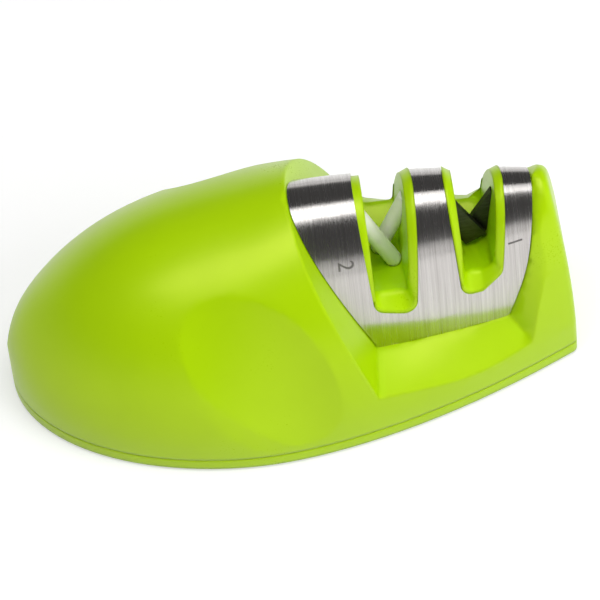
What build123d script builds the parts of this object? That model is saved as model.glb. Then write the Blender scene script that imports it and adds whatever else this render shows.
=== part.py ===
from build123d import *
from math import cos, sin, sqrt, radians
import os

# A hand-held pull-through knife sharpener with two slots.
# Frame: X runs along the length with the slots towards +X, Y is the width with the symmetry
# plane at y = 0, Z is up. The origin lies on the resting surface, under the middle of the length.
# Shares of places along X follow body_length, those along Y body_width, those along Z dome_height.

# Overall body
body_length = 119.6
body_width = 64.6
dome_height = 47.6
pad_proud = 0.8
widest_share = -0.0669
crown_share = 0.0502
front_taper_share = 0.635
front_taper_power = 1.72
rear_angles = (88, 80, 70, 58, 45, 30, 15)
rear_height_shares = (0.25, 0.307, 0.408, 0.524, 0.657, 0.792, 0.882)
front_station_shares = (widest_share, crown_share, 0.1672, 0.2843, 0.3846, 0.4515, 0.5184)
front_height_shares = (0.945, 1.0, 0.988, 0.972, 0.952, 0.937, 0.9)
skirt_share = 0.126
skirt_rise_share = 0.084
skirt_limit_share = 0.35
side_lean_share = 0.0464
side_handle_shares = (0.5, 0.06)
top_handle_shares = (0.5, 0.05)

# Front face, a shallow arc seen from the side: (share of length, share of height) of three points
front_arc_shares = ((0.5, 0.063), (0.4933, 0.462), (0.4716, 0.872))
front_edge_radius = 1.8

# Moulding
wall = 2.4
fit = 0.1
overrun = 20.0
quarter_share = 0.5523

# Thumb dents, one on each side
dent_at_shares = (-0.0794, 0.42)
dent_depth = 3.0
dent_tilt = 27.0
dent_lean = 18.3
dent_path_radius = 57.0
dent_groove_radius = 54.0
dent_arc = 56.0

# Tower under the steel cover. Its width and its top fall away along parabolas towards the front
tower_span_shares = (0.0084, 0.4415)
tower_strips = 9
tower_half_share = 0.26
tower_taper_start_share = 0.0209
tower_taper_share = 0.1018
tower_top_share = 0.9882
tower_peak_share = 0.0753
tower_drop_share = 0.0637
tower_foot_share = 0.126
arch_ratio = 1.8
sheet = 0.5
rim_proud = 0.35
rim_bevel = 1.1

# Ends of the recess around the tower. Each row gives a height, the place of the rear and of the front
# end at the symmetry plane, and a point (share of length, share of width) that the front wall passes.
# The steel cover keeps to the same rows from the second one upwards.
recess_rows = (
    (0.126, 0.1722, 0.3512, (0.3721, 0.3406)),
    (0.3172, 0.1447, 0.3804, (0.4231, 0.24)),
    (0.479, 0.1179, 0.403, (0.439, 0.2051)),
    (0.6618, 0.0832, 0.4214, (0.4482, 0.1625)),
    (0.7857, 0.0585, 0.4298, (0.4507, 0.1316)),
    (0.9265, 0.0301, 0.439, (0.4498, 0.031)),
    (1.06, 0.0067, 0.4465, (0.451, 0.01)),
)
cover_corner_radius = 1.2

# Knife slots seen from the side: places of the rear wall's top and foot, the floor's bend, the
# front wall's foot and top, then the heights of the rear foot, the bend and the front foot.
slot_top_share = 1.05
fine_cut_shares = ((0.1288, 0.1459, 0.1798, 0.2199, 0.2383), (0.5441, 0.521, 0.4958))
fine_gap_shares = ((0.1463, 0.1497, 0.1798, 0.2048, 0.2216), (0.5882, 0.5882, 0.5882))
coarse_cut_shares = ((0.2855, 0.2998, 0.337, 0.3746, 0.3959), (0.5336, 0.5336, 0.6092))
coarse_gap_shares = ((0.3027, 0.3098, 0.337, 0.3587, 0.3804), (0.5966, 0.5966, 0.6513))
cut_corner_radius = 2.6
gap_corner_radius = 1.2
mouth_land = 0.35

# Sills on both sides of the dished floor of each slot: share of the width, width, depth of the dish
sill_width = 1.0
fine_sill_share = 0.1974
fine_dish_depth = 2.6
coarse_sill_share = 0.1579
coarse_dish_depth = 1.8

# Walls of the recess, and its ledge: (share of length, share of height) of the ledge's outer edge
recess_rear_flare = 0.09
recess_reach_share = 0.62
recess_play = 0.25
front_wall_length = 14.0
overlap = 1.0
ledge_shares = ((0.0669, 0.298), (0.1505, 0.269), (0.2258, 0.233), (0.3177, 0.2017), (0.4013, 0.2227),
                (0.485, 0.258))

# Ceramic rods of the fine slot, crossed in a V
rod_radius = 1.75
rod_angle = 24.0
rod_cross_shares = (0.1806, 0.6113)
rod_offset_y = 1.9
rod_below = 3.05
rod_above = 12.9
rod_play = 0.15

# Carbide plates of the coarse slot, crossed in a wider V
plate_angle = 29.7
plate_cross_shares = (0.3357, 0.7164)
plate_width = 5.0
plate_thick = 1.3
plate_offset_y = 0.85
plate_below = 5.0
plate_above = 8.0

# Cartridge that carries rods and plates: a bar with three posts, split at the symmetry plane
cartridge_span_shares = (0.0811, 0.4348)
cartridge_height_shares = (0.1681, 0.4055)
cartridge_half_depth = 7.4
post_span_shares = ((0.0811, 0.1371), (0.2274, 0.2926), (0.3829, 0.4348))
post_top_share = 0.8235
post_half_depth = 4.3
split_gap = 0.05
pocket_play = 0.2

# Screws: radius of shank, radius and height of head
clamp_screw = (1.25, 2.3, 1.5)
clamp_screw_shares = (0.1087, 0.4097)
clamp_screw_height_share = 0.2857
clamp_screw_reach = 5.4
fixing_screw = (1.3, 2.5, 1.4)
fixing_screw_places = ((0.1773, -5.4), (0.3361, 5.4))
fixing_screw_bite = 4.4
base_screw = (1.5, 2.9, 1.7)
base_screw_shares = ((-0.1171, 0.2786), (0.2843, 0.2167))
base_screw_length = 11.0
boss_radius = 3.6

# Space inside the shell behind the tower, with stiffening ribs, and the shallow space under the ledge
cavity_front_shares = ((0.046, 0.567), (0.0, 0.861), (-0.0125, 1.26))
cavity_dent_inset = 2.6
rib_shares = (-0.3512, -0.2007, -0.0669)
rib_thickness = 1.6
rib_foot_share = 0.336
front_space_shares = ((0.1003, 0.155, 0.37), (0.4264, 0.155, 0.17))
front_space_height_share = 0.1513

# Tabs along the lower edge of the steel cover
tab_shares = (0.2048, 0.3177)
tab_width = 5.0
tab_depth = 2.2

# Base plate with its locating tabs, and rubber pads let into its underside
plate_thickness = 2.7
parting_gap = 0.1
locating_tab = (8.0, 1.6, 2.0)
locating_tab_shares = ((-0.3010, 0.0), (0.0084, 0.2554))
pad_thickness = 1.7
front_pad_shares = (0.3177, 0.4431, 0.3096)
rear_pad_shares = (-0.418, -0.1839, 0.5573)
pad_corner_radius = 4.0


def along(share):
    return share * body_length


def across(share):
    return share * body_width


def above(share):
    return share * dome_height


def half_width(x):
    """Half width of the body at the resting plane."""
    widest_x = along(widest_share)
    if x < widest_x:
        share = (widest_x - x) / (widest_x + body_length / 2)
        return body_width / 2 * sqrt(max(0.0, 1 - share**2))
    share = (x - widest_x) / (body_length / 2 - widest_x)
    return body_width / 2 * (1 - front_taper_share * share**front_taper_power)


def body_stations():
    """Place, half width and height of each cross-section of the body."""
    widest_x = along(widest_share)
    stations = []
    for angle, share in zip(rear_angles, rear_height_shares):
        x = widest_x - (widest_x + body_length / 2) * sin(radians(angle))
        stations.append((x, half_width(x), above(share)))
    for place, share in zip(front_station_shares, front_height_shares):
        stations.append((along(place), half_width(along(place)), above(share)))
    return stations


def closed_face(*curves):
    return Face(Wire([edge for curve in curves for edge in curve.edges()]))


def skirt_top(x, top):
    """Height up to which the sides of a cross-section stay upright, and its share of the front form."""
    crown_x = along(crown_share)
    blend = max(0.0, (x - crown_x) / (along(front_station_shares[-2]) - crown_x))
    return min(above(skirt_share), skirt_limit_share * top) + above(skirt_rise_share) * min(blend, 1.0), blend


def body_section(x, side, top):
    """Closed cross-section of the body across the length."""
    skirt, blend = skirt_top(x, top)
    side_handle = skirt + (side_handle_shares[0] + side_handle_shares[1] * blend) * (top - skirt)
    top_handle = (top_handle_shares[0] + top_handle_shares[1] * blend) * side
    shoulder = side - across(side_lean_share) * blend
    curves = [Line((x, -side, pad_proud), (x, side, pad_proud))]
    for sign in (1, -1):
        foot = (x, sign * side, skirt)
        curves.append(Line((x, sign * side, pad_proud), foot))
        curves.append(Bezier(foot, (x, sign * shoulder, side_handle), (x, sign * top_handle, top), (x, 0, top)))
    return closed_face(*curves)


def side_prism(face, reach):
    """Outline in the side view, pushed out to both sides of the symmetry plane."""
    return extrude(face, reach, dir=(0, 1, 0), both=True)


def front_cutter():
    """Everything in front of the shallow arc of the front face."""
    foot, middle, top = [(along(x), 0, above(z)) for x, z in front_arc_shares]
    far = body_length / 2 + overrun
    start = (foot[0], 0, -overrun)
    arc = ThreePointArc(foot, middle, top)
    end = arc @ 1 + (arc % 1) * overrun
    outline = closed_face(Line(start, foot), arc, Line(arc @ 1, end),
                          Polyline(end, (far, 0, end.Z), (far, 0, -overrun), start))
    return side_prism(outline, body_width)


def outer_body():
    """The mouse-shaped body with its rounded front edge."""
    body = loft([body_section(*station) for station in body_stations()]) - front_cutter()
    limit = along(front_arc_shares[2][0]) - front_edge_radius
    rim = [e for e in body.edges() if e.bounding_box().min.X > limit and e.center().Z > pad_proud + fit]
    return fillet(rim, front_edge_radius)


def dent_tool():
    """Ring segment that scoops the thumb dent out of the near side."""
    axis = Vector(cos(radians(dent_tilt)), 0, sin(radians(dent_tilt)))
    rise = Vector(-sin(radians(dent_tilt)), 0, cos(radians(dent_tilt)))
    outward = Vector(0, -cos(radians(dent_lean)), 0) + rise * sin(radians(dent_lean))
    dent_x = along(dent_at_shares[0])
    deepest = Vector(dent_x, dent_depth - half_width(dent_x), above(dent_at_shares[1]))
    centre = deepest - outward * dent_path_radius
    tube = centre + outward * (dent_path_radius + dent_groove_radius)
    disc = Face(Wire(Edge.make_circle(dent_groove_radius, Plane(tube, outward, outward.cross(axis)))))
    return revolve(disc.rotate(Axis(centre, axis), -dent_arc / 2), Axis(centre, axis), dent_arc)


def tower_half(x):
    """Half width of the steel cover below its arch."""
    start = along(tower_taper_start_share)
    share = max(0.0, x - start) / (along(tower_span_shares[1]) - start)
    return across(tower_half_share - tower_taper_share * share**2)


def tower_top(x):
    """Height of the steel cover along the symmetry plane."""
    peak = along(tower_peak_share)
    share = (x - peak) / (along(tower_span_shares[1]) - peak)
    return above(tower_top_share - tower_drop_share * share**2)


def tower_side(x, z):
    """Half width of the steel cover at a height."""
    rise = arch_ratio * tower_half(x)
    share = min(1.0, max(0.0, (z + rise - tower_top(x)) / rise))
    return tower_half(x) * sqrt(1 - share**2)


def arch_face(foot_x, foot_z, lean, grow):
    """Arch across the tower, upright or leaning with the wall of a slot, grown from the steel's outer face."""

    def place(z):
        return foot_x + lean * (z - foot_z)

    base_z = above(tower_foot_share)
    spring_z = tower_top(foot_x) - arch_ratio * tower_half(foot_x)
    top_z = tower_top(place(tower_top(foot_x))) + grow
    handle_z = spring_z + quarter_share * (top_z - spring_z)
    side = tower_half(place(spring_z)) + grow
    top_handle = quarter_share * (tower_half(place(top_z)) + grow)
    curves = [Line((place(base_z), -side, base_z), (place(base_z), side, base_z))]
    for sign in (1, -1):
        spring = (place(spring_z), sign * side, spring_z)
        curves.append(Line((place(base_z), sign * side, base_z), spring))
        curves.append(Bezier(spring, (place(handle_z), sign * side, handle_z),
                             (place(top_z), sign * top_handle, top_z), (place(top_z), 0, top_z)))
    return closed_face(*curves)


def tower_loft(grow):
    start, end = [along(share) for share in tower_span_shares]
    places = [start + (end - start) * step / tower_strips for step in range(tower_strips + 1)]
    return loft([arch_face(x, 0, 0, grow) for x in places], ruled=True)


def slot_points(shares):
    """Corners of a slot seen from the side, from the top of its rear wall to the top of its front wall."""
    places, heights = shares
    return [(along(x), above(z)) for x, z in zip(places, (slot_top_share, *heights, slot_top_share))]


def slot_face(points, radius, shrink=0.0, y=0.0, slope=0.0):
    """Outline of a slot in a plane that faces sideways, with round corners at its foot."""
    bend_x = points[2][0]
    moves = ((shrink, 0), (shrink, shrink), (0, shrink), (-shrink, shrink), (-shrink, 0))
    corners = []
    for (x, z), (dx, dz) in zip(points, moves):
        corners.append(Vector(x + dx, y + slope * (x + dx - bend_x), z + dz))
    face = closed_face(Polyline(*corners, close=True))
    feet = [v for v in face.vertices() if v.Z < points[0][1] - radius and abs(v.X - bend_x) > fit]
    return face.fillet_2d(radius, feet)


def slot_rims(cut, gap):
    """Bevelled green rims that fill the steel's opening around the gap, and the fill below it."""
    halves = []
    for foot, top in ((1, 0), (3, 4)):
        faces = []
        for points, grow in ((cut, rim_proud), (gap, rim_proud - rim_bevel)):
            lean = (points[top][0] - points[foot][0]) / (points[top][1] - points[foot][1])
            faces.append(arch_face(points[foot][0], points[foot][1], lean, grow))
        halves.append(loft(faces, ruled=True))
    base_z = above(tower_foot_share)
    fill = closed_face(Polyline((cut[1][0], 0, base_z), (cut[1][0], 0, gap[1][1]), (gap[2][0], 0, gap[2][1]),
                                (cut[3][0], 0, gap[3][1]), (cut[3][0], 0, base_z), close=True))
    plug = side_prism(slot_face(cut, cut_corner_radius, fit), body_width)
    return (halves[0] + halves[1] + (tower_loft(rim_proud) & side_prism(fill, body_width))) & plug


def gap_cutters(cut, gap, sill_share, dish_depth):
    """The way through for the knife: dished between the sills, then widening towards both sides."""
    bend_x = cut[2][0]
    sill_y = across(sill_share)
    outer_y = tower_side(bend_x, min(z for x, z in cut)) + rim_proud + fit
    slope = (tower_half(bend_x - 1) - tower_half(bend_x + 1)) / 2
    outer = slot_face(cut, cut_corner_radius, mouth_land, -outer_y, slope)
    mouth = loft([slot_face(gap, gap_corner_radius, 0, -sill_y), outer], ruled=True)
    dish_half = sill_y - sill_width
    dish_radius = (dish_half**2 + dish_depth**2) / (2 * dish_depth)
    dish_axis = Plane((gap[0][0], 0, gap[1][1] - dish_depth + dish_radius), x_dir=(0, 1, 0), z_dir=(1, 0, 0))
    roller = dish_axis * extrude(Circle(dish_radius), gap[4][0] - gap[0][0])
    deep = [gap[0]] + [(x, z - dish_depth) for x, z in gap[1:4]] + [gap[4]]
    dish = side_prism(slot_face(deep, gap_corner_radius), sill_y) & roller
    return [side_prism(slot_face(gap, gap_corner_radius), sill_y), mouth, mirror(mouth, Plane.XZ), dish]


def recess_walls():
    """Space around the near side of the tower between its two end walls."""
    reach = across(recess_reach_share)
    sections = []
    for height_share, rear_share, front_share, lip_shares in recess_rows:
        z = above(height_share)
        rear = along(rear_share) - recess_play
        front = along(front_share) + recess_play
        rear_y = max(tower_side(rear, z), sill_width)
        start = Vector(front, -max(tower_side(front, z), sill_width), z)
        lip = Vector(along(lip_shares[0]), -across(lip_shares[1]), z)
        outside = start + (lip - start).normalized() * front_wall_length
        sections.append(closed_face(Polyline(
            (rear, overlap, z), (rear, -rear_y, z), (rear - recess_rear_flare * reach, -reach, z),
            (body_length, -reach, z), outside, start, (front, overlap, z), close=True)))
    return loft(sections)


def ledge_body():
    """Everything under the sloping ledge on the near side of the tower."""
    edge_z = above(recess_rows[1][0])
    far = body_width
    sections = []
    for place, crest_share in ledge_shares:
        x = along(place)
        inner = tower_half(x)
        slope = (edge_z - above(crest_share)) / (half_width(x) - inner)
        sections.append(closed_face(Polyline(
            (x, overrun, edge_z), (x, -inner, edge_z), (x, -far, edge_z - slope * (far - inner)),
            (x, -far, -body_length), (x, overrun, -body_length), close=True)))
    return loft(sections)


def recess_tool():
    return recess_walls() - ledge_body()


def cover_face():
    """Outline of the steel cover seen from the side."""
    rows = recess_rows[1:]
    rear = Spline(*[(along(place), 0, above(height)) for height, place, _, _ in reversed(rows)])
    front = Spline(*[(along(place), 0, above(height)) for height, _, place, _ in rows])
    face = closed_face(rear, Line(rear @ 1, front @ 0), front, Line(front @ 1, rear @ 0))
    feet = [v for v in face.vertices() if v.Z < (rear @ 1).Z + fit]
    return face.fillet_2d(cover_corner_radius, feet)


def box_between(x, y, z):
    """Box from its limits along each axis."""
    size = (x[1] - x[0], y[1] - y[0], z[1] - z[0])
    return Pos((x[0] + x[1]) / 2, (y[0] + y[1]) / 2, (z[0] + z[1]) / 2) * Box(*size)


def slab(z_low, z_high):
    return box_between((-body_length, body_length), (-body_width, body_width), (z_low, z_high))


def upright(radius, at, z_low, z_high):
    return Pos(at[0], at[1], (z_low + z_high) / 2) * Cylinder(radius, z_high - z_low)


def cover_tabs(play):
    """Tabs folded inwards at the lower edge, or the slits that take them when given play."""
    edge_z = above(recess_rows[1][0])
    tabs = []
    for x in [along(share) for share in tab_shares]:
        inner = tower_half(x) - sheet - tab_depth - play
        limits_x = (x - tab_width / 2 - play, x + tab_width / 2 + play)
        limits_z = (edge_z - play, edge_z + sheet + play)
        tabs.append(box_between(limits_x, (-body_width, -inner), limits_z))
        tabs.append(box_between(limits_x, (inner, body_width), limits_z))
    return tabs


def steel_cover(slots):
    cover = (tower_loft(0) - tower_loft(-sheet)) & side_prism(cover_face(), body_width)
    for cut in slots:
        cover -= side_prism(slot_face(cut, cut_corner_radius), body_width)
    inside = tower_loft(-sheet / 2)
    for tab in cover_tabs(0):
        cover += tab & inside
    return cover


def ceramic_rod(side, play):
    """Rod with a round lower end. Side -1 is the near one, which leans down towards the front."""
    direction = Vector(-side * sin(radians(rod_angle)), 0, -cos(radians(rod_angle)))
    cross = Vector(along(rod_cross_shares[0]), side * rod_offset_y, above(rod_cross_shares[1]))
    top = cross - direction * (rod_above + play)
    length = rod_above + rod_below + play
    radius = rod_radius + play
    rod = Plane(top, x_dir=(0, 1, 0), z_dir=direction) * extrude(Circle(radius), length)
    return rod + Pos(*(cross + direction * rod_below)) * Sphere(radius)


def carbide_plate(side, play):
    """Flat plate whose upper edge makes one side of the V."""
    direction = Vector(-side * sin(radians(plate_angle)), 0, -cos(radians(plate_angle)))
    sideways = Vector(side * cos(radians(plate_angle)), 0, -sin(radians(plate_angle)))
    cross = Vector(along(plate_cross_shares[0]), side * plate_offset_y, above(plate_cross_shares[1]))
    length = plate_below + plate_above
    centre = cross + direction * (plate_below - length / 2) + sideways * (plate_width / 2)
    frame = Plane(centre, x_dir=direction, z_dir=(0, 1, 0))
    return frame * Box(length + 2 * play, plate_width + 2 * play, plate_thick + 2 * play)


def clamp_frames():
    """Planes under the heads of the two screws across the cartridge."""
    head_y = -cartridge_half_depth + fit
    z = above(clamp_screw_height_share)
    return [Plane((along(x), head_y, z), x_dir=(1, 0, 0), z_dir=(0, 1, 0)) for x in clamp_screw_shares]


def clamp_screws(play):
    """Two screws across the width that hold the halves of the cartridge together."""
    radius, head_radius, head_height = clamp_screw
    screws = []
    for frame in clamp_frames():
        head = frame * extrude(Circle(head_radius + play), head_height)
        screws.append(head + frame * extrude(Circle(radius + play), clamp_screw_reach - frame.origin.Y))
    return screws


def fixing_screws(play):
    """Two screws from below that hold the cartridge up against the floor of the slots."""
    radius, head_radius, head_height = fixing_screw
    low_z, high_z = [above(share) for share in cartridge_height_shares]
    tip_z = high_z + pocket_play + fixing_screw_bite + play
    screws = []
    for place, y in fixing_screw_places:
        at = (along(place), y)
        head = upright(head_radius + play, at, low_z - head_height, low_z)
        screws.append(head + upright(radius + play, at, low_z - head_height, tip_z))
    return screws


def base_screw_places():
    return [(along(x), side * across(y)) for x, y in base_screw_shares for side in (-1, 1)]


def base_screws(play):
    """Countersunk screws through the base plate."""
    radius, head_radius, head_height = base_screw
    screws = []
    for at in base_screw_places():
        place = Pos(at[0], at[1], pad_proud + head_height / 2)
        head = place * Cone(head_radius + play, radius + play, head_height)
        screws.append(head + upright(radius + play, at, pad_proud, pad_proud + base_screw_length + play))
    return screws


def spans(shares):
    return [along(share) for share in shares]


def cartridge_half(side):
    """Near (side -1) or far (side 1) half of the cartridge."""
    low_z, high_z = [above(share) for share in cartridge_height_shares]
    depth = sorted((side * split_gap, side * cartridge_half_depth))
    post_depth = sorted((side * split_gap, side * post_half_depth))
    half = box_between(spans(cartridge_span_shares), depth, (low_z, high_z))
    for shares in post_span_shares:
        half += box_between(spans(shares), post_depth, (low_z, above(post_top_share)))
    half -= ceramic_rod(side, fit)
    half -= carbide_plate(side, fit)
    for screw in clamp_screws(fit) + fixing_screws(fit):
        half -= screw
    return half


def cartridge_bay():
    """Room for the cartridge, open downwards."""
    play = pocket_play
    depth = cartridge_half_depth + play
    post_depth = post_half_depth + play
    start, end = spans(cartridge_span_shares)
    top_z = above(cartridge_height_shares[1]) + play
    bay = box_between((start - play, end + play), (-depth, depth), (0, top_z))
    for shares in post_span_shares:
        start, end = spans(shares)
        top_z = above(post_top_share) + play
        bay += box_between((start - play, end + play), (-post_depth, post_depth), (0, top_z))
    return bay


def cavity_section(x, side, top, inset):
    """Cross-section of the space inside the shell: flats that run a wall's thickness under the surface."""
    skirt, _ = skirt_top(x, top)
    rise = top - skirt
    half = [(side - inset, 0), (side - inset, skirt), (0.914 * side - inset, skirt + 0.367 * rise),
            (0.6875 * side - 0.75 * wall, skirt + 0.6875 * rise - 0.75 * wall),
            (0.367 * side - 0.4 * wall, skirt + 0.914 * rise - wall)]
    points = [(x, y, z) for y, z in half] + [(x, -y, z) for y, z in reversed(half)]
    return closed_face(Polyline(*points, close=True))


def rear_space():
    """The hollow behind the tower with its ribs."""
    stations = body_stations()[3:9]
    insets = (wall, wall, wall, cavity_dent_inset + wall, cavity_dent_inset + wall, wall)
    sections = [cavity_section(*station, inset) for station, inset in zip(stations, insets)]
    front_x = along(cavity_front_shares[0][0])
    edge = [(along(x), 0, above(z)) for x, z in cavity_front_shares]
    outline = closed_face(Polyline((-body_length, 0, -fit), (front_x, 0, -fit), *edge,
                                   (-body_length, 0, edge[-1][2]), close=True))
    space = loft(sections, ruled=True) & side_prism(outline, body_width)
    for x in spans(rib_shares):
        space -= box_between((x - rib_thickness / 2, x + rib_thickness / 2), (-body_width, body_width),
                             (above(rib_foot_share), body_width))
    return space


def front_space(side):
    """Shallow space under the ledge, beside the bay of the cartridge."""
    corners = []
    for x, inner, outer in front_space_shares:
        corners += [(along(x), side * across(inner), 0), (along(x), side * across(outer), 0)]
    face = closed_face(Polyline(corners[0], corners[1], corners[3], corners[2], close=True))
    return extrude(face, above(front_space_height_share), dir=(0, 0, 1))


def shell_spaces():
    """Spaces inside the shell, around the bosses of the base screws."""
    spaces = [rear_space(), front_space(-1), front_space(1)]
    for at in base_screw_places():
        boss = upright(boss_radius, at, 0, body_width)
        spaces = [space - boss for space in spaces]
    return spaces


def parting_z():
    return pad_proud + plate_thickness


def pad(shares, play):
    start, end = spans(shares[:2])
    outline = RectangleRounded(end - start + 2 * play, across(shares[2]) + 2 * play, pad_corner_radius)
    return Pos((start + end) / 2, 0, 0) * extrude(outline, pad_thickness + play)


def base_plate(body):
    """Plate that closes the underside, with tabs that locate it inside the shell."""
    plate = body & slab(0, parting_z())
    length, thickness, height = locating_tab
    for place, share in locating_tab_shares:
        for side in (-1, 1):
            x, y = along(place), side * across(share)
            plate += box_between((x - length / 2, x + length / 2), (y - thickness / 2, y + thickness / 2),
                                 (parting_z() - fit, parting_z() + height))
    plate -= pad(rear_pad_shares, fit)
    plate -= pad(front_pad_shares, fit)
    for screw in base_screws(fit):
        plate -= screw
    return plate


def housing(body, slots):
    """The moulded shell with its tower, recess, slots and inner spaces."""
    shell = body - slab(0, parting_z() + parting_gap)
    for tool in (dent_tool(), recess_tool()):
        shell = shell - tool - mirror(tool, Plane.XZ)
    shell += tower_loft(-sheet - fit)
    cutters = shell_spaces() + [cartridge_bay()] + cover_tabs(fit) + fixing_screws(0) + base_screws(0)
    for cut, gap, sill_share, dish_depth in slots:
        shell += slot_rims(cut, gap)
        cutters += gap_cutters(cut, gap, sill_share, dish_depth)
    for side in (-1, 1):
        cutters += [ceramic_rod(side, rod_play), carbide_plate(side, rod_play)]
    for cutter in cutters:
        shell -= cutter
    return shell


def write(node, *solids):
    shape = solids[0] if len(solids) == 1 else Compound(children=list(solids))
    print(node, shape.is_valid, round(shape.volume, 1), len(shape.solids()))
    export_step(shape, f"parts/{node}.step")


os.makedirs("parts", exist_ok=True)
fine_slot = (slot_points(fine_cut_shares), slot_points(fine_gap_shares), fine_sill_share, fine_dish_depth)
coarse_slot = (slot_points(coarse_cut_shares), slot_points(coarse_gap_shares), coarse_sill_share, coarse_dish_depth)
whole_body = outer_body()
write("housing", housing(whole_body, (fine_slot, coarse_slot)))
write("steel_cover", steel_cover((fine_slot[0], coarse_slot[0])))
write("base_plate", base_plate(whole_body))
write("rear_pad", pad(rear_pad_shares, 0))
write("front_pad", pad(front_pad_shares, 0))
write("cartridge_near", cartridge_half(-1))
write("cartridge_far", cartridge_half(1))
write("ceramic_rod_near", ceramic_rod(-1, 0))
write("ceramic_rod_far", ceramic_rod(1, 0))
write("carbide_plate_near", carbide_plate(-1, 0))
write("carbide_plate_far", carbide_plate(1, 0))
write("cartridge_clamp_screws", *clamp_screws(0))
write("cartridge_fixing_screws", *fixing_screws(0))
write("base_screws", *base_screws(0))
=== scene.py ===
import bmesh
import bpy
from math import cos, hypot, radians, sin
from mathutils import Matrix, Vector


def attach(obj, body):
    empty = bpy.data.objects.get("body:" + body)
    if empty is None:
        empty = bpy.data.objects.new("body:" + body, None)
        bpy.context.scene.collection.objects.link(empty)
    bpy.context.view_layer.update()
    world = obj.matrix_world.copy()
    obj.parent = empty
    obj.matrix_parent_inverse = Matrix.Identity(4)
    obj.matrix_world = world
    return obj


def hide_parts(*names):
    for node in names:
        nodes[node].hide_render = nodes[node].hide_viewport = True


# A hand-held pull-through knife sharpener: lime plastic body, brushed steel saddle with two slots.
# The CAD nodes keep their meshes, but for two whose carved copies take their place: the housing, with wider
# grip dents, and the base screws, with cross recesses. This script gives all of them their finishes, adds
# the marks on the steel, and sets up the stage, the light and the camera.

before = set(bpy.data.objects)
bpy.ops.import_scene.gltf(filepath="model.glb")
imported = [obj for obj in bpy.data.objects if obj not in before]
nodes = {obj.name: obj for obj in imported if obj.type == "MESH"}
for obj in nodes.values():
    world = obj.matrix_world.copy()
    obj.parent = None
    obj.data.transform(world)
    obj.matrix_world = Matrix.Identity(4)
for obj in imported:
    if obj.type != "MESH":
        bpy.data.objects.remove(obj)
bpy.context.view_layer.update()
MM = 0.001

# Camera: angles in degrees, distances and the sensor in millimetres, clip in metres
CAMERA_TARGET = (2.5, -7.2, 22.8)
CAMERA_AZIMUTH = -1.5
CAMERA_ELEVATION = 50.0
CAMERA_ROLL = 6.0
CAMERA_DISTANCE = 900.0
CAMERA_CLIP = (0.01, 20)
SENSOR_WIDTH = 36.0
IMAGE_WIDTH = 600.0
FOCAL_PIXELS = 4320.0

# Steel arch, in millimetres: half width and height fall away along parabolas towards the front
ARCH_HALF = 16.796
ARCH_HALF_START = 2.5
ARCH_HALF_DROP = 6.576
ARCH_HALF_RUN = 50.3
ARCH_TOP = 47.038
ARCH_TOP_START = 9.0
ARCH_TOP_DROP = 3.032
ARCH_TOP_RUN = 43.8
ARCH_RATIO = 1.8

# Marks on the steel: figure, place along the body in millimetres, angle down the arch in radians, height of
# the figure in millimetres
MARKS = (("2", 12.5, 0.82, 3.3), ("1", 47.8, 0.98, 3.0))
MARK_LIFT = 0.02

# Grip dents, in millimetres: a groove whose deepest line follows a circle around an axis in the body.
# The near one is given; the far one is its mirror image. The arc is in degrees.
DENT_DEEPEST = (-6.5, -26.8, 21.0)
DENT_OUTWARD = (-0.01, -0.915, 0.415)
DENT_LINE = (-0.46, 0.35, 0.82)
DENT_PATH_RADIUS = 80.0
DENT_GROOVE_RADIUS = 58.0
DENT_ARC = 70.0
DENT_SEGMENTS = 288
DENT_STEPS = 70

# Carved copies: distance below which two corners are one, in metres, and angle from which an edge is sharp
WELD = 1e-7
SHARP_ANGLE = 14.0

# Cross recesses in the heads of the base screws, in millimetres: length, width and depth of an arm
DRIVE_ARM = (3.4, 0.8, 1.1)

# Colours, linear
LIME = (0.45, 0.74, 0.0, 1)
LIME_DEEP = (0.425, 0.70, 0.0, 1)
SHEEN = (1.0, 0.97, 0.24, 1)
STEEL_LIGHT = (0.66, 0.635, 0.615, 1)
STEEL_DARK = (0.50, 0.475, 0.455, 1)
ETCHED = (0.17, 0.16, 0.15, 1)
ETCHED_PALE = (0.27, 0.255, 0.245, 1)
CERAMIC = (0.94, 0.93, 0.87, 1)
CERAMIC_WORN = (0.86, 0.85, 0.77, 1)
CARBIDE = (0.040, 0.040, 0.036, 1)
CARBIDE_GROUND = (0.085, 0.085, 0.08, 1)
RUBBER = (0.022, 0.022, 0.023, 1)
RUBBER_DUSTY = (0.045, 0.045, 0.044, 1)
CARRIER = (0.026, 0.026, 0.028, 1)
CARRIER_PALE = (0.042, 0.042, 0.044, 1)
ZINC = (0.60, 0.60, 0.61, 1)
ZINC_DULL = (0.42, 0.42, 0.44, 1)
PAPER = (0.6, 0.6, 0.6, 1)
WHITE = (1, 1, 1, 1)

# Rays that round an edge in a moulded surface
EDGE_SAMPLES = 6

# Floor: half its width in metres, and the strength that it adds for the camera
FLOOR_HALF = 3
FLOOR_LIFT = 0.5

# Surroundings: strength at the horizon and overhead, and the heights between which one becomes the other
HORIZON = 0.8
CEILING = 0.07
SWEEP = (0.1, 0.24)

# Lamps: name, place, point they face, width and depth in metres, watts, turn, seen in gloss
MIDDLE = (0, 0, 0.02)
LAMPS = (
    ("overhead", (-0.12, -0.2, 1.0), (-0.12, -0.2, 0), (1.1, 0.48), 4.4, 25, True),
    ("top_fill", (0.15, -0.1, 1.1), MIDDLE, (1.0, 1.0), 4.2, 0, False),
    ("side_fill", (0.8, -0.5, 0.6), MIDDLE, (0.7, 0.7), 6.5, 0, False),
)


# Node helpers

def new_material(name):
    """Material with an empty tree that holds only its shader and its output."""
    material = bpy.data.materials.new(name)
    material.use_nodes = True
    tree = material.node_tree
    tree.nodes.clear()
    shader = tree.nodes.new("ShaderNodeBsdfPrincipled")
    output = tree.nodes.new("ShaderNodeOutputMaterial")
    tree.links.new(shader.outputs["BSDF"], output.inputs["Surface"])
    return material, tree, shader


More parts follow.
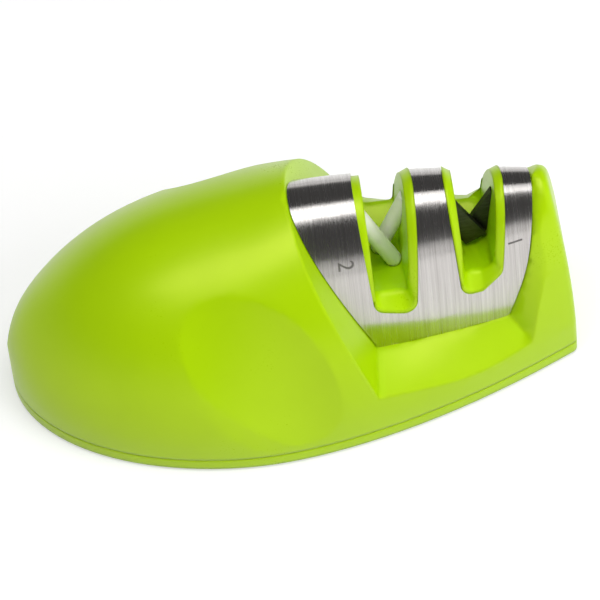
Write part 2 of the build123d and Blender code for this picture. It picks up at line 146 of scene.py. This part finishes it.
def add_node(tree, kind, inputs=(), **settings):
    """Node with its settings and the values or links of its inputs."""
    node = tree.nodes.new(kind)
    for key, value in settings.items():
        setattr(node, key, value)
    for socket, value in dict(inputs).items():
        feed(tree, value, node.inputs[socket])
    return node


def feed(tree, value, socket):
    """Link or set one input."""
    if isinstance(value, bpy.types.NodeSocket):
        tree.links.new(value, socket)
    else:
        socket.default_value = value


def object_coordinates(tree, scale=(1, 1, 1)):
    """Object coordinates, stretched along each axis."""
    source = add_node(tree, "ShaderNodeTexCoord")
    mapping = add_node(tree, "ShaderNodeMapping", {"Vector": source.outputs["Object"], "Scale": scale})
    return mapping.outputs["Vector"]


def noise(tree, vector, scale, detail, rough):
    """Value of a noise pattern."""
    inputs = {"Vector": vector, "Scale": scale, "Detail": detail, "Roughness": rough}
    return add_node(tree, "ShaderNodeTexNoise", inputs).outputs["Fac"]


def mix_colours(tree, factor, low, high):
    """Colour between two others."""
    node = add_node(tree, "ShaderNodeMix", data_type="RGBA")
    feed(tree, factor, node.inputs[0])
    feed(tree, low, node.inputs[6])
    feed(tree, high, node.inputs[7])
    return node.outputs[2]


def remap(tree, value, low, high, start=0.0, end=1.0):
    """Value between start and end, moved to the range from low to high."""
    inputs = {"Value": value, "From Min": start, "From Max": end, "To Min": low, "To Max": high}
    return add_node(tree, "ShaderNodeMapRange", inputs).outputs["Result"]


def new_group(name, inputs, outputs):
    """Shader node group with its named sockets, and the nodes for its inputs and outputs."""
    group = bpy.data.node_groups.new(name, "ShaderNodeTree")
    for label, kind in inputs:
        group.interface.new_socket(label, in_out="INPUT", socket_type="NodeSocket" + kind)
    for label, kind in outputs:
        group.interface.new_socket(label, in_out="OUTPUT", socket_type="NodeSocket" + kind)
    return group, group.nodes.new("NodeGroupInput"), group.nodes.new("NodeGroupOutput")


def use_group(tree, group, inputs):
    """Group placed in a material with its own values."""
    node = tree.nodes.new("ShaderNodeGroup")
    node.node_tree = group
    for label, value in inputs.items():
        feed(tree, value, node.inputs[label])
    return node


# Shared effects

def make_moulded_grain():
    """Cloudy tone, uneven gloss and fine grain of a moulded or pressed surface."""
    group, taken, given = new_group(
        "moulded_grain",
        (("Vector", "Vector"), ("Colour", "Color"), ("Second Colour", "Color"), ("Smoothest", "Float"),
         ("Roughest", "Float"), ("Cloud Scale", "Float"), ("Grain Scale", "Float")),
        (("Colour", "Color"), ("Roughness", "Float"), ("Height", "Float")),
    )
    clouds = noise(group, taken.outputs["Vector"], taken.outputs["Cloud Scale"], detail=3.0, rough=0.55)
    grain = noise(group, taken.outputs["Vector"], taken.outputs["Grain Scale"], detail=3.0, rough=0.6)
    tone = remap(group, clouds, 0.0, 1.0, start=0.3, end=0.7)
    colour = mix_colours(group, tone, taken.outputs["Colour"], taken.outputs["Second Colour"])
    blend = add_node(group, "ShaderNodeMath", {0: clouds, 1: grain}, operation="ADD").outputs[0]
    gloss = add_node(group, "ShaderNodeMapRange", {
        "Value": blend, "From Min": 0.7, "From Max": 1.3,
        "To Min": taken.outputs["Smoothest"], "To Max": taken.outputs["Roughest"]}).outputs["Result"]
    group.links.new(colour, given.inputs["Colour"])
    group.links.new(gloss, given.inputs["Roughness"])
    group.links.new(grain, given.inputs["Height"])
    return group


def make_machine_lines():
    """Fine lines left by a brush or a grinding wheel: the coordinates come in already stretched."""
    group, taken, given = new_group(
        "machine_lines",
        (("Vector", "Vector"), ("Dark", "Color"), ("Light", "Color"), ("Smoothest", "Float"),
         ("Roughest", "Float")),
        (("Colour", "Color"), ("Roughness", "Float"), ("Height", "Float")),
    )
    coarse = noise(group, taken.outputs["Vector"], 0.35, detail=3.0, rough=0.6)
    fine = noise(group, taken.outputs["Vector"], 1.0, detail=4.0, rough=0.7)
    both = add_node(group, "ShaderNodeMath", {0: coarse, 1: fine}, operation="ADD").outputs[0]
    tone = remap(group, both, 0.0, 1.0, start=0.75, end=1.25)
    colour = mix_colours(group, tone, taken.outputs["Dark"], taken.outputs["Light"])
    gloss = add_node(group, "ShaderNodeMapRange", {
        "Value": fine, "From Min": 0.25, "From Max": 0.75,
        "To Min": taken.outputs["Smoothest"], "To Max": taken.outputs["Roughest"]}).outputs["Result"]
    group.links.new(colour, given.inputs["Colour"])
    group.links.new(gloss, given.inputs["Roughness"])
    group.links.new(fine, given.inputs["Height"])
    return group


moulded_grain = make_moulded_grain()
machine_lines = make_machine_lines()


def grained(name, colours, gloss, clouds, grain, relief, edge):
    """Material of a moulded surface whose edges look rounded: relief and edge radius in millimetres."""
    material, tree, shader = new_material(name)
    pattern = use_group(tree, moulded_grain, {
        "Vector": object_coordinates(tree), "Colour": colours[0], "Second Colour": colours[1],
        "Smoothest": gloss[0], "Roughest": gloss[1], "Cloud Scale": clouds, "Grain Scale": grain})
    rounded = add_node(tree, "ShaderNodeBevel", {"Radius": edge * MM}, samples=EDGE_SAMPLES)
    bump = add_node(tree, "ShaderNodeBump", {
        "Height": pattern.outputs["Height"], "Strength": 1.0, "Distance": relief * MM,
        "Normal": rounded.outputs["Normal"]})
    feed(tree, pattern.outputs["Colour"], shader.inputs["Base Color"])
    feed(tree, pattern.outputs["Roughness"], shader.inputs["Roughness"])
    feed(tree, bump.outputs["Normal"], shader.inputs["Normal"])
    return material, shader


def lined(name, colours, gloss, stretch, relief):
    """Material of a ground or brushed surface, with its relief in millimetres."""
    material, tree, shader = new_material(name)
    lines = use_group(tree, machine_lines, {
        "Vector": object_coordinates(tree, stretch), "Dark": colours[0], "Light": colours[1],
        "Smoothest": gloss[0], "Roughest": gloss[1]})
    bump = add_node(tree, "ShaderNodeBump", {
        "Height": lines.outputs["Height"], "Strength": 1.0, "Distance": relief * MM})
    feed(tree, lines.outputs["Colour"], shader.inputs["Base Color"])
    feed(tree, lines.outputs["Roughness"], shader.inputs["Roughness"])
    feed(tree, bump.outputs["Normal"], shader.inputs["Normal"])
    return material, tree, shader


# Finishes

def lime_plastic():
    material, shader = grained(
        "lime_plastic", (LIME, LIME_DEEP), gloss=(0.27, 0.35), clouds=45.0, grain=2600.0,
        relief=0.006, edge=1.2)
    shader.inputs["IOR"].default_value = 1.6
    shader.inputs["Specular IOR Level"].default_value = 0.9
    shader.inputs["Specular Tint"].default_value = SHEEN
    return material


def brushed_steel():
    """Lines run down the arch, so highlights spread along the length of the body."""
    material, tree, shader = lined(
        "brushed_steel", (STEEL_DARK, STEEL_LIGHT), gloss=(0.2, 0.3), stretch=(5200, 60, 60), relief=0.0012)
    tangent = add_node(tree, "ShaderNodeTangent", direction_type="RADIAL", axis="X")
    feed(tree, tangent.outputs["Tangent"], shader.inputs["Tangent"])
    shader.inputs["Metallic"].default_value = 1.0
    shader.inputs["Anisotropic"].default_value = 0.85
    shader.inputs["Anisotropic Rotation"].default_value = 0.25
    return material


def etched_mark():
    material, _, shader = lined(
        "etched_mark", (ETCHED, ETCHED_PALE), gloss=(0.5, 0.65), stretch=(5200, 400, 400), relief=0.002)
    shader.inputs["Metallic"].default_value = 0.6
    return material


def ground_ceramic():
    material, _ = grained(
        "ground_ceramic", (CERAMIC, CERAMIC_WORN), gloss=(0.45, 0.6), clouds=260.0, grain=5200.0,
        relief=0.01, edge=0.3)
    return material


def ground_carbide():
    material, _, shader = lined(
        "ground_carbide", (CARBIDE, CARBIDE_GROUND), gloss=(0.3, 0.5), stretch=(900, 900, 7000),
        relief=0.004)
    shader.inputs["Metallic"].default_value = 0.8
    return material


def soft_rubber():
    material, _ = grained(
        "soft_rubber", (RUBBER, RUBBER_DUSTY), gloss=(0.75, 0.92), clouds=180.0, grain=3200.0,
        relief=0.04, edge=0.4)
    return material


def carrier_plastic():
    material, _ = grained(
        "carrier_plastic", (CARRIER, CARRIER_PALE), gloss=(0.5, 0.62), clouds=120.0, grain=2800.0,
        relief=0.03, edge=0.3)
    return material


def zinc_plate():
    material, _, shader = lined(
        "zinc_plate", (ZINC_DULL, ZINC), gloss=(0.22, 0.38), stretch=(2600, 2600, 700), relief=0.003)
    shader.inputs["Metallic"].default_value = 1.0
    return material


def dress(finish, *names):
    """Give one finish to CAD nodes."""
    for name in names:
        slots = nodes[name].data.materials
        slots.clear()
        slots.append(finish)


# Meshes

def mesh_of(bm, name):
    """Mesh of a bmesh, which it frees."""
    mesh = bpy.data.meshes.new(name)
    bm.to_mesh(mesh)
    bm.free()
    return mesh


def linked(name, data):
    """Object in the scene for a mesh, a lamp or a camera."""
    made = bpy.data.objects.new(name, data)
    bpy.context.scene.collection.objects.link(made)
    return made


def settled(obj):
    """Mesh of an object with its modifiers, or of a text."""
    bpy.context.view_layer.update()
    return bpy.data.meshes.new_from_object(obj.evaluated_get(bpy.context.evaluated_depsgraph_get()))


def welded(node):
    """Bmesh of a CAD node, welded so that it is closed."""
    bm = bmesh.new()
    bm.from_mesh(nodes[node].data)
    bmesh.ops.remove_doubles(bm, verts=bm.verts, dist=WELD)
    return bm


# Carved copies

def carve(node, name, tools, finish):
    """New piece that is a CAD node less some tools, and takes its place."""
    blank = linked(node + "_blank", mesh_of(welded(node), node + "_blank"))
    for tool in tools:
        cut = blank.modifiers.new(tool.name, "BOOLEAN")
        cut.object = tool
        cut.operation = "DIFFERENCE"
        cut.solver = "EXACT"
    carved = settled(blank)
    for helper in tools + [blank]:
        bpy.data.objects.remove(helper)
    carved.shade_smooth()
    carved.set_sharp_from_angle(angle=radians(SHARP_ANGLE))
    carved.materials.clear()
    carved.materials.append(finish)
    piece = linked(name, carved)
    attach(piece, "root")
    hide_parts(node)
    return piece


def dent_tool(name, side):
    """Ring segment that scoops out one grip dent: side 1 is the near one, -1 the far one."""
    outward = Vector(DENT_OUTWARD).normalized()
    line = Vector(DENT_LINE)
    line = (line - outward * line.dot(outward)).normalized()
    axis = line.cross(outward)
    across = Matrix((axis, outward, axis.cross(outward))).transposed().to_4x4()
    start = Matrix.Rotation(radians(-DENT_ARC / 2), 4, axis)
    ring_place = Matrix.Translation(outward * (DENT_PATH_RADIUS + DENT_GROOVE_RADIUS))
    centre = Matrix.Translation(Vector(DENT_DEEPEST) - outward * DENT_PATH_RADIUS)
    flip = Matrix.Diagonal((1, side, 1, 1))
    bm = bmesh.new()
    bmesh.ops.create_circle(
        bm, segments=DENT_SEGMENTS, radius=DENT_GROOVE_RADIUS, matrix=start @ ring_place @ across)
    bmesh.ops.spin(
        bm, geom=bm.edges[:], cent=(0, 0, 0), axis=axis, angle=radians(DENT_ARC), steps=DENT_STEPS)
    bmesh.ops.holes_fill(bm, edges=[e for e in bm.edges if e.is_boundary], sides=0)
    bmesh.ops.transform(bm, matrix=flip @ centre, verts=bm.verts)
    bmesh.ops.scale(bm, vec=(MM, MM, MM), verts=bm.verts)
    bmesh.ops.recalc_face_normals(bm, faces=bm.faces)
    return linked(name, mesh_of(bm, name))


def screw_centres(node):
    """Middle of the underside of each screw of a node, in metres."""
    bm = welded(node)
    left = set(bm.verts)
    centres = []
    while left:
        screw = set()
        reached = {left.pop()}
        while reached:
            screw |= reached
            reached = {edge.other_vert(v) for v in reached for edge in v.link_edges} - screw
        left -= screw
        xs, ys, zs = zip(*(v.co for v in screw))
        centres.append(((min(xs) + max(xs)) / 2, (min(ys) + max(ys)) / 2, min(zs)))
    bm.free()
    return sorted(centres)


def drive_tool(name, centres, turned):
    """One arm of the cross for every screw."""
    length, width, depth = (size * MM for size in DRIVE_ARM)
    sizes = (width, length) if turned else (length, width)
    bm = bmesh.new()
    for centre in centres:
        place = Matrix.Translation(centre) @ Matrix.Diagonal((*sizes, 2 * depth, 1))
        bmesh.ops.create_cube(bm, size=1, matrix=place)
    return linked(name, mesh_of(bm, name))


# Marks on the steel

def arch_half(x):
    """Half width of the arch at a place along the body."""
    share = max(0.0, x - ARCH_HALF_START) / ARCH_HALF_RUN
    return ARCH_HALF - ARCH_HALF_DROP * share**2


def arch_top(x):
    """Height of the arch at a place along the body."""
    share = (x - ARCH_TOP_START) / ARCH_TOP_RUN
    return ARCH_TOP - ARCH_TOP_DROP * share**2


def on_arch(x, angle, lift):
    """Point of the near side of the arch, lifted off the steel, in metres."""
    half = arch_half(x)
    rise = ARCH_RATIO * half
    out = Vector((0, -rise * sin(angle), half * cos(angle))).normalized()
    point = Vector((x, -half * sin(angle), arch_top(x) - rise * (1 - cos(angle))))
    return (point + out * lift) * MM


def figure_mesh(figure, height):
    """Flat mesh of one figure, centred, with its height in millimetres."""
    curve = bpy.data.curves.new("mark_" + figure, "FONT")
    curve.body = figure
    curve.align_x = "CENTER"
    curve.align_y = "CENTER"
    text = linked("mark_" + figure, curve)
    mesh = settled(text)
    bpy.data.objects.remove(text)
    lows = [min(v.co[axis] for v in mesh.vertices) for axis in (0, 1)]
    highs = [max(v.co[axis] for v in mesh.vertices) for axis in (0, 1)]
    scale = height / (highs[1] - lows[1])
    middle = Vector(((lows[0] + highs[0]) / 2, (lows[1] + highs[1]) / 2, 0))
    for vertex in mesh.vertices:
        vertex.co = (vertex.co - middle) * scale
    return mesh


def make_mark(figure, place, angle, height, finish):
    """Figure laid on the arch, which reads downwards with its top towards the front."""
    mesh = figure_mesh(figure, height)
    half = arch_half(place)
    step = hypot(half * cos(angle), ARCH_RATIO * half * sin(angle))
    for vertex in mesh.vertices:
        down, forward, _ = vertex.co
        vertex.co = on_arch(place + forward, angle + down / step, MARK_LIFT)
    mesh.materials.clear()
    mesh.materials.append(finish)
    mark = linked("mark_" + figure, mesh)
    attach(mark, "root")
    return mark


# Lamps and stage

def aim(obj, place, target, turn):
    """Put an object at a place, facing a target and turned about its own axis."""
    direction = Vector(target) - Vector(place)
    obj.matrix_world = (
        Matrix.Translation(place) @ direction.to_track_quat("-Z", "Y").to_matrix().to_4x4()
        @ Matrix.Rotation(radians(turn), 4, "Z")
    )


def soft_lamp(name, place, target, size, watts, turn, glossy):
    """Rectangular lamp, seen in gloss or not."""
    data = bpy.data.lights.new(name, "AREA")
    data.shape = "RECTANGLE"
    data.size, data.size_y = size
    data.energy = watts
    lamp = linked(name, data)
    lamp.visible_glossy = glossy
    aim(lamp, place, target, turn)
    return lamp


def make_camera():
    """Camera at the photograph's angle."""
    azimuth, elevation, roll = (radians(a) for a in (CAMERA_AZIMUTH, CAMERA_ELEVATION, CAMERA_ROLL))
    back = Vector((sin(azimuth) * cos(elevation), -cos(azimuth) * cos(elevation), sin(elevation)))
    level = Vector((cos(azimuth), sin(azimuth), 0))
    lift = back.cross(level)
    right = level * cos(roll) - lift * sin(roll)
    up = level * sin(roll) + lift * cos(roll)
    data = bpy.data.cameras.new("camera")
    data.sensor_width = SENSOR_WIDTH
    data.sensor_fit = "HORIZONTAL"
    data.lens = SENSOR_WIDTH * FOCAL_PIXELS / IMAGE_WIDTH
    data.clip_start, data.clip_end = CAMERA_CLIP
    camera = linked("camera", data)
    turn = Matrix((right, up, back)).transposed().to_4x4()
    place = (Vector(CAMERA_TARGET) + back * CAMERA_DISTANCE) * MM
    camera.matrix_world = Matrix.Translation(place) @ turn
    bpy.context.scene.camera = camera


def make_floor():
    """Pale floor. It looks white to the camera and in reflections, and keeps the shadow."""
    bm = bmesh.new()
    bmesh.ops.create_grid(bm, x_segments=1, y_segments=1, size=FLOOR_HALF)
    floor = linked("floor", mesh_of(bm, "floor"))
    material, tree, shader = new_material("paper")
    shader.inputs["Base Color"].default_value = PAPER
    shader.inputs["Roughness"].default_value = 0.9
    shader.inputs["Specular IOR Level"].default_value = 0.1
    rays = add_node(tree, "ShaderNodeLightPath")
    seen = add_node(tree, "ShaderNodeMath", {
        0: rays.outputs["Is Camera Ray"], 1: rays.outputs["Is Glossy Ray"]}, operation="ADD").outputs[0]
    seen = add_node(tree, "ShaderNodeMath", {
        0: seen, 1: rays.outputs["Is Transmission Ray"]}, operation="ADD", use_clamp=True).outputs[0]
    shader.inputs["Emission Color"].default_value = WHITE
    feed(tree, remap(tree, seen, 0.0, FLOOR_LIFT), shader.inputs["Emission Strength"])
    floor.data.materials.append(material)


def make_world():
    """Pale near the horizon, like a studio sweep, and dim above it."""
    world = bpy.data.worlds.new("studio")
    bpy.context.scene.world = world
    world.use_nodes = True
    tree = world.node_tree
    source = add_node(tree, "ShaderNodeTexCoord")
    height = add_node(tree, "ShaderNodeSeparateXYZ", {"Vector": source.outputs["Generated"]}).outputs["Z"]
    strength = remap(tree, height, HORIZON, CEILING, *SWEEP)
    background = tree.nodes["Background"]
    background.inputs["Color"].default_value = WHITE
    feed(tree, strength, background.inputs["Strength"])


green = lime_plastic()
zinc = zinc_plate()
etched = etched_mark()
dress(green, "housing", "base_plate")
dress(brushed_steel(), "steel_cover")
dress(ground_ceramic(), "ceramic_rod_near", "ceramic_rod_far")
dress(ground_carbide(), "carbide_plate_near", "carbide_plate_far")
dress(soft_rubber(), "rear_pad", "front_pad")
dress(carrier_plastic(), "cartridge_near", "cartridge_far")
dress(zinc, "cartridge_clamp_screws", "cartridge_fixing_screws", "base_screws")

dents = [dent_tool("dent_near", 1), dent_tool("dent_far", -1)]
carve("housing", "housing_shell", dents, green)
heads = screw_centres("base_screws")
arms = [drive_tool("arm_along", heads, False), drive_tool("arm_across", heads, True)]
carve("base_screws", "base_screws_cross", arms, zinc)
for mark in MARKS:
    make_mark(*mark, etched)

make_floor()
make_world()
make_camera()
for lamp in LAMPS:
    soft_lamp(*lamp)

bpy.context.scene.view_settings.view_transform = "Standard"
